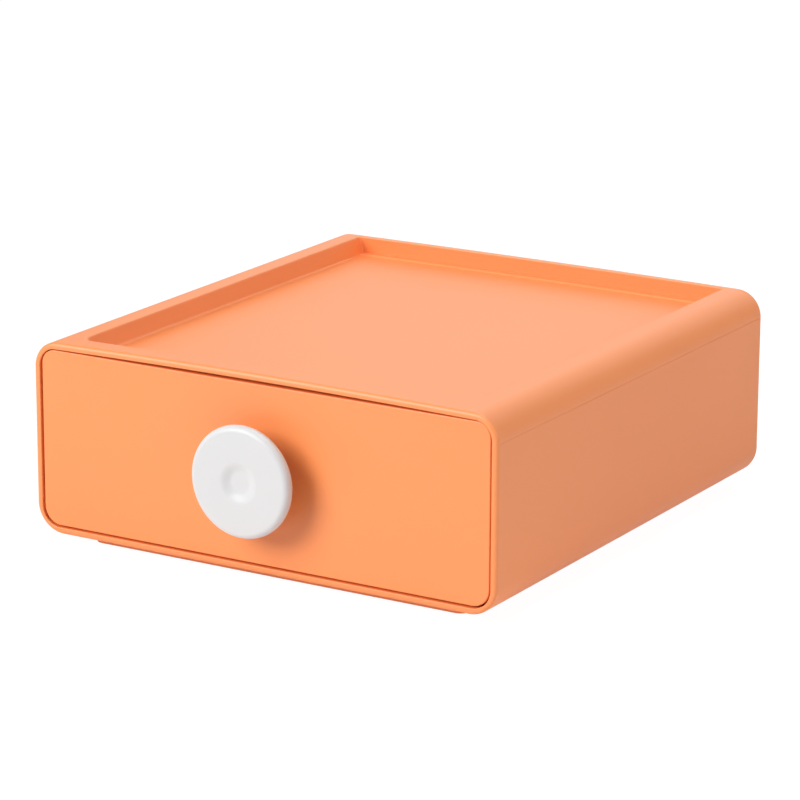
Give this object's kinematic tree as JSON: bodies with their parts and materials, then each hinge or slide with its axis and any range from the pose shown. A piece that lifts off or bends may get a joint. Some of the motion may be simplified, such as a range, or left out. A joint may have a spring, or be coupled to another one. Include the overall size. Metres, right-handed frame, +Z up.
{
  "type": "pen display box",
  "caption": "Low stackable desk box in orange plastic with one pull-out drawer, a round white knob, a shallow tray on top and a plinth underneath.",
  "frame": {"origin": "middle of the whole length and width, knob included, on the desk under the pads", "axes": "+Z up, -Y towards the front with the knob, +X to the right seen from the front"},
  "size_m": [0.18, 0.2004, 0.0725],
  "materials": {
    "case_plastic": "satin, very fine texture",
    "knob_plastic": "soft gloss",
    "pad_rubber": "matt",
    "insert_brass": "machined",
    "screw_steel": "zinc plated"
  },
  "bodies": {
    "shell": {"outer_shell": "case_plastic", "anti_slip_pad_front_left": "pad_rubber", "anti_slip_pad_front_right": "pad_rubber", "anti_slip_pad_rear_left": "pad_rubber", "anti_slip_pad_rear_right": "pad_rubber"},
    "drawer": {"drawer_tray": "case_plastic", "knob": "knob_plastic", "knob_insert": "insert_brass", "knob_washer": "screw_steel", "knob_screw": "screw_steel"}
  },
  "joints": [
    {"name": "drawer_slide", "type": "slide", "parent": "shell", "child": "drawer", "axis": [0, -1, 0], "range_m": [0, 0.15]}
  ]
}
